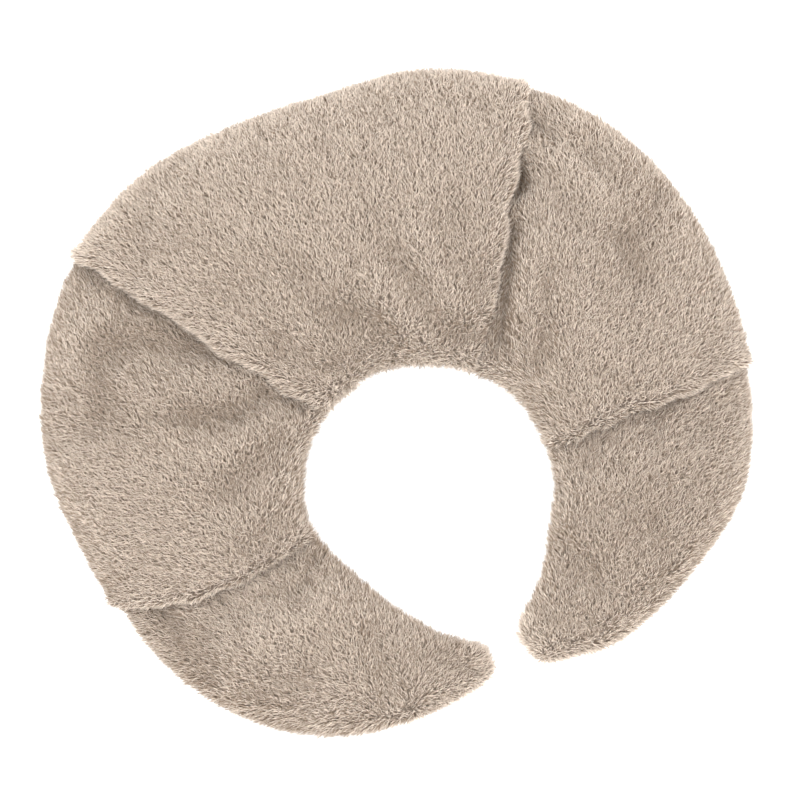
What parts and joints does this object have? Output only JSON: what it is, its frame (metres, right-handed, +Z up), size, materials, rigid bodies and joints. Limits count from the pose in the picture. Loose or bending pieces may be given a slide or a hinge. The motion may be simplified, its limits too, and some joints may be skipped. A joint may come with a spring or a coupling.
{
  "type": "neck pillow",
  "caption": "C-shaped plush neck pillow with overlapping filled chambers, a round neck opening and a narrow mouth between two tapered tails.",
  "frame": {"origin": "centre of the bounding box's bottom, on the surface that the pillow's back lies on", "axes": "+Z up out of the front, +X along the pillow's greatest width, +Y away from the mouth, towards the middle of the C"},
  "size_m": [0.4476, 0.4198, 0.0452],
  "materials": {
    "front_plush": "taupe short-pile plush, matt",
    "back_plush": "taupe short-pile plush, matt"
  },
  "bodies": {
    "root": {"back_panel": "back_plush", "right_tail": "front_plush", "right_chamber": "front_plush", "centre_chamber": "front_plush", "left_chamber": "front_plush", "left_tail": "front_plush"}
  },
  "joints": []
}
